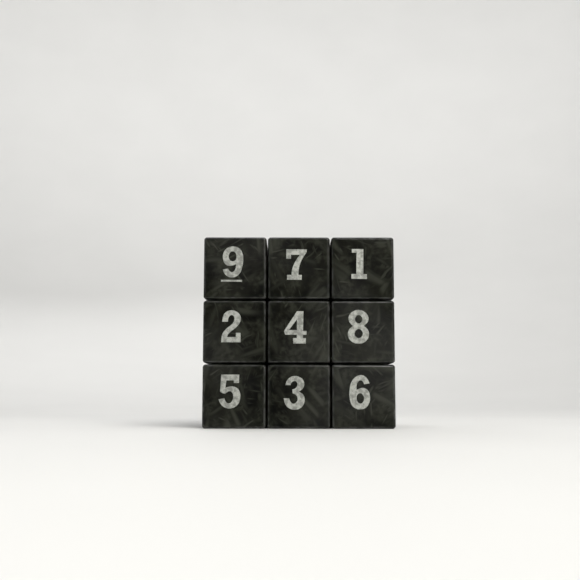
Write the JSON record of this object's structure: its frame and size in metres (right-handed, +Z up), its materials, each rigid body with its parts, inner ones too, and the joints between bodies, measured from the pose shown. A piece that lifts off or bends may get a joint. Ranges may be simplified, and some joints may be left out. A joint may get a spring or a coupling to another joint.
{
  "type": "sudoku cube",
  "caption": "Charcoal plastic twisting puzzle cube with a printed numeral on every tile; each face turns about its sprung centre.",
  "frame": {"origin": "middle of the cube's base, on the surface it stands on", "axes": "+Z up, the face with the pictured numerals looks along -Y, +X to its right"},
  "size_m": [0.057, 0.057, 0.057],
  "materials": {
    "tile_plastic": "satin charcoal plastic with light scuffs",
    "inner_plastic": "plain black moulding",
    "screw_steel": "zinc plated",
    "spring_steel": "bright drawn wire",
    "numeral_foil": "printed silver-grey foil, mottled"
  },
  "bodies": {
    "core": {"core_spider": "inner_plastic", "screw_up": "screw_steel", "screw_down": "screw_steel", "screw_front": "screw_steel", "screw_back": "screw_steel", "screw_left": "screw_steel", "screw_right": "screw_steel", "washer_up": "screw_steel", "washer_down": "screw_steel", "washer_front": "screw_steel", "washer_back": "screw_steel", "washer_left": "screw_steel", "washer_right": "screw_steel", "spring_up": "spring_steel", "spring_down": "spring_steel", "spring_front": "spring_steel", "spring_back": "spring_steel", "spring_left": "spring_steel", "spring_right": "spring_steel"},
    "up_centre": {"centre_body_up": "inner_plastic", "centre_cap_up": "tile_plastic"},
    "down_centre": {"centre_body_down": "inner_plastic", "centre_cap_down": "tile_plastic"},
    "front_centre": {"centre_body_front": "inner_plastic", "centre_cap_front": "tile_plastic"},
    "back_centre": {"centre_body_back": "inner_plastic", "centre_cap_back": "tile_plastic"},
    "left_centre": {"centre_body_left": "inner_plastic", "centre_cap_left": "tile_plastic"},
    "right_centre": {"centre_body_right": "inner_plastic", "centre_cap_right": "tile_plastic"},
    "up_back_edge": {"edge_up_back": "tile_plastic"},
    "up_left_edge": {"edge_up_left": "tile_plastic"},
    "up_front_edge": {"edge_up_front": "tile_plastic"},
    "up_right_edge": {"edge_up_right": "tile_plastic"},
    "down_front_edge": {"edge_down_front": "tile_plastic"},
    "down_right_edge": {"edge_down_right": "tile_plastic"},
    "down_back_edge": {"edge_down_back": "tile_plastic"},
    "down_left_edge": {"edge_down_left": "tile_plastic"},
    "back_right_edge": {"edge_back_right": "tile_plastic"},
    "back_left_edge": {"edge_back_left": "tile_plastic"},
    "front_left_edge": {"edge_front_left": "tile_plastic"},
    "front_right_edge": {"edge_front_right": "tile_plastic"},
    "up_back_right_corner": {"corner_up_back_right": "tile_plastic", "corner_foot_up_back_right": "inner_plastic"},
    "up_back_left_corner": {"corner_up_back_left": "tile_plastic", "corner_foot_up_back_left": "inner_plastic"},
    "up_front_left_corner": {"corner_up_front_left": "tile_plastic", "corner_foot_up_front_left": "inner_plastic"},
    "up_front_right_corner": {"corner_up_front_right": "tile_plastic", "corner_foot_up_front_right": "inner_plastic"},
    "down_front_right_corner": {"corner_down_front_right": "tile_plastic", "corner_foot_down_front_right": "inner_plastic"},
    "down_back_right_corner": {"corner_down_back_right": "tile_plastic", "corner_foot_down_back_right": "inner_plastic"},
    "down_back_left_corner": {"corner_down_back_left": "tile_plastic", "corner_foot_down_back_left": "inner_plastic"},
    "down_front_left_corner": {"corner_down_front_left": "tile_plastic", "corner_foot_down_front_left": "inner_plastic"}
  },
  "joints": [
    {"name": "turn_up", "type": "hinge", "parent": "core", "child": "up_centre", "pos_m": [0, 0, 0.0285], "axis": [0, 0, 1], "continuous": true},
    {"name": "turn_down", "type": "hinge", "parent": "core", "child": "down_centre", "pos_m": [0, 0, 0.0285], "axis": [0, 0, -1], "continuous": true},
    {"name": "turn_front", "type": "hinge", "parent": "core", "child": "front_centre", "pos_m": [0, 0, 0.0285], "axis": [0, -1, 0], "continuous": true},
    {"name": "turn_back", "type": "hinge", "parent": "core", "child": "back_centre", "pos_m": [0, 0, 0.0285], "axis": [0, 1, 0], "continuous": true},
    {"name": "turn_left", "type": "hinge", "parent": "core", "child": "left_centre", "pos_m": [0, 0, 0.0285], "axis": [-1, 0, 0], "continuous": true},
    {"name": "turn_right", "type": "hinge", "parent": "core", "child": "right_centre", "pos_m": [0, 0, 0.0285], "axis": [1, 0, 0], "continuous": true},
    {"name": "up_back_edge_turn", "type": "hinge", "parent": "back_centre", "child": "up_back_edge", "pos_m": [0, 0, 0.0285], "axis": [0, 0, 1], "continuous": true},
    {"name": "up_left_edge_turn", "type": "hinge", "parent": "up_centre", "child": "up_left_edge", "pos_m": [0, 0, 0.0285], "axis": [-1, 0, 0], "continuous": true},
    {"name": "up_front_edge_turn", "type": "hinge", "parent": "front_centre", "child": "up_front_edge", "pos_m": [0, 0, 0.0285], "axis": [0, 0, 1], "continuous": true},
    {"name": "up_right_edge_turn", "type": "hinge", "parent": "up_centre", "child": "up_right_edge", "pos_m": [0, 0, 0.0285], "axis": [1, 0, 0], "continuous": true},
    {"name": "down_front_edge_turn", "type": "hinge", "parent": "front_centre", "child": "down_front_edge", "pos_m": [0, 0, 0.0285], "axis": [0, 0, -1], "continuous": true},
    {"name": "down_right_edge_turn", "type": "hinge", "parent": "down_centre", "child": "down_right_edge", "pos_m": [0, 0, 0.0285], "axis": [1, 0, 0], "continuous": true},
    {"name": "down_back_edge_turn", "type": "hinge", "parent": "back_centre", "child": "down_back_edge", "pos_m": [0, 0, 0.0285], "axis": [0, 0, -1], "continuous": true},
    {"name": "down_left_edge_turn", "type": "hinge", "parent": "down_centre", "child": "down_left_edge", "pos_m": [0, 0, 0.0285], "axis": [-1, 0, 0], "continuous": true},
    {"name": "back_right_edge_turn", "type": "hinge", "parent": "right_centre", "child": "back_right_edge", "pos_m": [0, 0, 0.0285], "axis": [0, 1, 0], "continuous": true},
    {"name": "back_left_edge_turn", "type": "hinge", "parent": "left_centre", "child": "back_left_edge", "pos_m": [0, 0, 0.0285], "axis": [0, 1, 0], "continuous": true},
    {"name": "front_left_edge_turn", "type": "hinge", "parent": "left_centre", "child": "front_left_edge", "pos_m": [0, 0, 0.0285], "axis": [0, -1, 0], "continuous": true},
    {"name": "front_right_edge_turn", "type": "hinge", "parent": "right_centre", "child": "front_right_edge", "pos_m": [0, 0, 0.0285], "axis": [0, -1, 0], "continuous": true},
    {"name": "up_back_right_corner_turn", "type": "hinge", "parent": "up_back_edge", "child": "up_back_right_corner", "pos_m": [0, 0, 0.0285], "axis": [1, 0, 0], "continuous": true},
    {"name": "up_back_left_corner_turn", "type": "hinge", "parent": "up_back_edge", "child": "up_back_left_corner", "pos_m": [0, 0, 0.0285], "axis": [-1, 0, 0], "continuous": true},
    {"name": "up_front_left_corner_turn", "type": "hinge", "parent": "up_front_edge", "child": "up_front_left_corner", "pos_m": [0, 0, 0.0285], "axis": [-1, 0, 0], "continuous": true},
    {"name": "up_front_right_corner_turn", "type": "hinge", "parent": "up_front_edge", "child": "up_front_right_corner", "pos_m": [0, 0, 0.0285], "axis": [1, 0, 0], "continuous": true},
    {"name": "down_front_right_corner_turn", "type": "hinge", "parent": "down_front_edge", "child": "down_front_right_corner", "pos_m": [0, 0, 0.0285], "axis": [1, 0, 0], "continuous": true},
    {"name": "down_back_right_corner_turn", "type": "hinge", "parent": "down_back_edge", "child": "down_back_right_corner", "pos_m": [0, 0, 0.0285], "axis": [1, 0, 0], "continuous": true},
    {"name": "down_back_left_corner_turn", "type": "hinge", "parent": "down_back_edge", "child": "down_back_left_corner", "pos_m": [0, 0, 0.0285], "axis": [-1, 0, 0], "continuous": true},
    {"name": "down_front_left_corner_turn", "type": "hinge", "parent": "down_front_edge", "child": "down_front_left_corner", "pos_m": [0, 0, 0.0285], "axis": [-1, 0, 0], "continuous": true}
  ],
  "couplings": [
    {"joint": "up_back_edge_turn", "follows": "turn_up", "ratio": 1},
    {"joint": "up_left_edge_turn", "follows": "turn_left", "ratio": 1},
    {"joint": "up_front_edge_turn", "follows": "turn_up", "ratio": 1},
    {"joint": "up_right_edge_turn", "follows": "turn_right", "ratio": 1},
    {"joint": "down_front_edge_turn", "follows": "turn_down", "ratio": 1},
    {"joint": "down_right_edge_turn", "follows": "turn_right", "ratio": 1},
    {"joint": "down_back_edge_turn", "follows": "turn_down", "ratio": 1},
    {"joint": "down_left_edge_turn", "follows": "turn_left", "ratio": 1},
    {"joint": "back_right_edge_turn", "follows": "turn_back", "ratio": 1},
    {"joint": "back_left_edge_turn", "follows": "turn_back", "ratio": 1},
    {"joint": "front_left_edge_turn", "follows": "turn_front", "ratio": 1},
    {"joint": "front_right_edge_turn", "follows": "turn_front", "ratio": 1},
    {"joint": "up_back_right_corner_turn", "follows": "turn_right", "ratio": 1},
    {"joint": "up_back_left_corner_turn", "follows": "turn_left", "ratio": 1},
    {"joint": "up_front_left_corner_turn", "follows": "turn_left", "ratio": 1},
    {"joint": "up_front_right_corner_turn", "follows": "turn_right", "ratio": 1},
    {"joint": "down_front_right_corner_turn", "follows": "turn_right", "ratio": 1},
    {"joint": "down_back_right_corner_turn", "follows": "turn_right", "ratio": 1},
    {"joint": "down_back_left_corner_turn", "follows": "turn_left", "ratio": 1},
    {"joint": "down_front_left_corner_turn", "follows": "turn_left", "ratio": 1}
  ]
}
